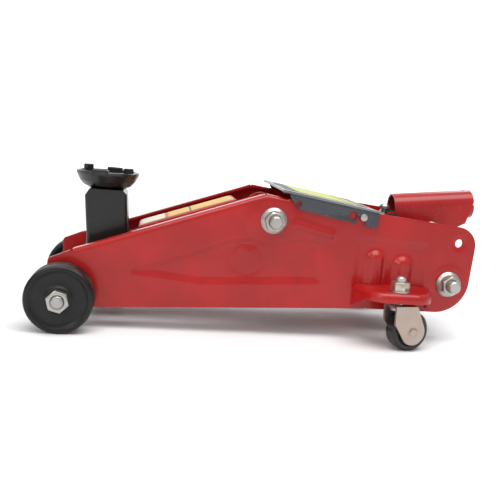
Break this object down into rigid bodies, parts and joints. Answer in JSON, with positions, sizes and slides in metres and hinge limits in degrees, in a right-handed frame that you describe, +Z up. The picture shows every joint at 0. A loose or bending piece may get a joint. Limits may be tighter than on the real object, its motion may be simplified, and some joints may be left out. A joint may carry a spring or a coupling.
{
  "type": "hydraulic trolley jack",
  "caption": "Low hydraulic trolley jack with a pivoting lift arm, level turning saddle, swivel rear casters and a pumping handle socket.",
  "frame": {"origin": "on the ground, under the middle of the jack's bounding box", "axes": "+X from the front wheels towards the handle, +Y to the jack's right, +Z up"},
  "size_m": [0.46, 0.2178, 0.1565],
  "materials": {
    "red_paint": "gloss enamel over pressed steel",
    "grey_paint": "semi-gloss grey enamel",
    "black_paint": "satin black enamel over steel",
    "cast_black": "satin black enamel over a casting",
    "wheel_black": "moulded black",
    "zinc": "bright zinc plate",
    "yellow_zinc": "yellow passivated zinc plate",
    "bare_steel": "machined and oiled",
    "chrome": "hard chrome",
    "spring_steel": "oiled spring steel",
    "seal": "nitrile"
  },
  "bodies": {
    "frame": {"side_plate_left": "red_paint", "side_plate_right": "red_paint", "front_axle": "bare_steel", "axle_nuts": "zinc", "axle_washers": "zinc", "front_spacer_tube": "black_paint", "arm_pivot_shaft": "zinc", "flange_nuts": "yellow_zinc", "rear_bolts": "yellow_zinc", "tie_rod_studs": "zinc", "cover_plate": "grey_paint", "cover_screws": "zinc", "pump_casting": "cast_black", "reservoir_tube": "red_paint", "reservoir_cap": "cast_black", "ram_cylinder": "bare_steel", "gland_nut": "bare_steel", "filler_plug": "seal", "relief_plug": "zinc", "valve_cap": "zinc", "spring_anchors": "zinc", "return_springs": "spring_steel", "pump_barrel": "bare_steel", "plunger_spring": "spring_steel", "king_bolts": "zinc", "king_washers": "zinc", "king_nuts": "yellow_zinc", "caster_races": "zinc", "caster_balls": "chrome"},
    "lift_arm": {"arm_plates": "red_paint", "arm_top_plate": "red_paint", "arm_pivot_tube": "red_paint", "ram_lugs": "red_paint", "post_pin": "zinc", "post_pin_clips": "spring_steel"},
    "saddle_post": {"saddle_post": "black_paint", "link_pin": "zinc", "link_pin_clips": "spring_steel"},
    "saddle": {"saddle": "cast_black", "saddle_clip": "spring_steel"},
    "tie_rods": {"tie_rods": "black_paint"},
    "ram": {"ram": "chrome", "ram_crosshead": "cast_black", "crosshead_pin": "zinc"},
    "handle_socket": {"handle_socket": "red_paint", "socket_pin": "zinc", "socket_pin_clips": "spring_steel", "pump_roller": "bare_steel", "roller_pin": "yellow_zinc"},
    "pump_plunger": {"pump_plunger": "chrome", "spring_collar": "zinc"},
    "release_valve": {"release_valve": "zinc"},
    "front_wheel_left": {"front_wheel_left": "wheel_black"},
    "front_wheel_right": {"front_wheel_right": "wheel_black"},
    "caster_left": {"caster_fork_left": "zinc", "caster_axle_left": "zinc"},
    "caster_right": {"caster_fork_right": "zinc", "caster_axle_right": "zinc"},
    "caster_wheel_left": {"caster_wheel_left": "wheel_black"},
    "caster_wheel_right": {"caster_wheel_right": "wheel_black"}
  },
  "joints": [
    {"name": "lift_arm_swing", "type": "hinge", "parent": "frame", "child": "lift_arm", "pos_m": [0.0025, 0, 0.1163], "axis": [0, 1, 0], "range_deg": [0, 65]},
    {"name": "saddle_post_level", "type": "hinge", "parent": "lift_arm", "child": "saddle_post", "pos_m": [-0.1495, 0, 0.063], "axis": [0, 1, 0], "range_deg": [-65.1, 0.1]},
    {"name": "saddle_turn", "type": "hinge", "parent": "saddle_post", "child": "saddle", "pos_m": [-0.1629, 0, 0.131], "axis": [0, 0, 1], "continuous": true},
    {"name": "tie_rods_swing", "type": "hinge", "parent": "frame", "child": "tie_rods", "pos_m": [-0.0189, 0, 0.0919], "axis": [0, 1, 0], "range_deg": [-0.1, 65.1]},
    {"name": "ram_slide", "type": "slide", "parent": "frame", "child": "ram", "axis": [-1, 0, 0], "range_m": [-0.0001, 0.0684], "deforming": ["return_springs"]},
    {"name": "handle_socket_swing", "type": "hinge", "parent": "frame", "child": "handle_socket", "pos_m": [0.1395, 0, 0.119], "axis": [0, -1, 0], "range_deg": [0, 45]},
    {"name": "pump_plunger_slide", "type": "slide", "parent": "frame", "child": "pump_plunger", "axis": [0, 0, 1], "range_m": [-0.0001, 0.0318], "deforming": ["plunger_spring"]},
    {"name": "release_valve_turn", "type": "hinge", "parent": "frame", "child": "release_valve", "pos_m": [0.2, 0, 0.078], "axis": [1, 0, 0], "range_deg": [0, 180]},
    {"name": "front_wheel_left_spin", "type": "hinge", "parent": "frame", "child": "front_wheel_left", "pos_m": [-0.1975, -0.082, 0.0325], "axis": [0, 1, 0], "continuous": true},
    {"name": "front_wheel_right_spin", "type": "hinge", "parent": "frame", "child": "front_wheel_right", "pos_m": [-0.1975, 0.082, 0.0325], "axis": [0, 1, 0], "continuous": true},
    {"name": "caster_left_swivel", "type": "hinge", "parent": "frame", "child": "caster_left", "pos_m": [0.1275, -0.0954, 0.045], "axis": [0, 0, 1], "continuous": true},
    {"name": "caster_right_swivel", "type": "hinge", "parent": "frame", "child": "caster_right", "pos_m": [0.1275, 0.0954, 0.045], "axis": [0, 0, 1], "continuous": true},
    {"name": "caster_wheel_left_spin", "type": "hinge", "parent": "caster_left", "child": "caster_wheel_left", "pos_m": [0.14011, -0.09226, 0.02], "axis": [0.2419, -0.9703, 0], "continuous": true},
    {"name": "caster_wheel_right_spin", "type": "hinge", "parent": "caster_right", "child": "caster_wheel_right", "pos_m": [0.14011, 0.09226, 0.02], "axis": [-0.2419, -0.9703, 0], "continuous": true}
  ],
  "couplings": [
    {"joint": "saddle_post_level", "follows": "lift_arm_swing", "ratio": -1},
    {"joint": "tie_rods_swing", "follows": "lift_arm_swing", "ratio": 1},
    {"joint": "ram_slide", "follows": "lift_arm_swing", "m_per_rad": 0.060087},
    {"joint": "pump_plunger_slide", "follows": "handle_socket_swing", "m_per_rad": 0.040255}
  ]
}
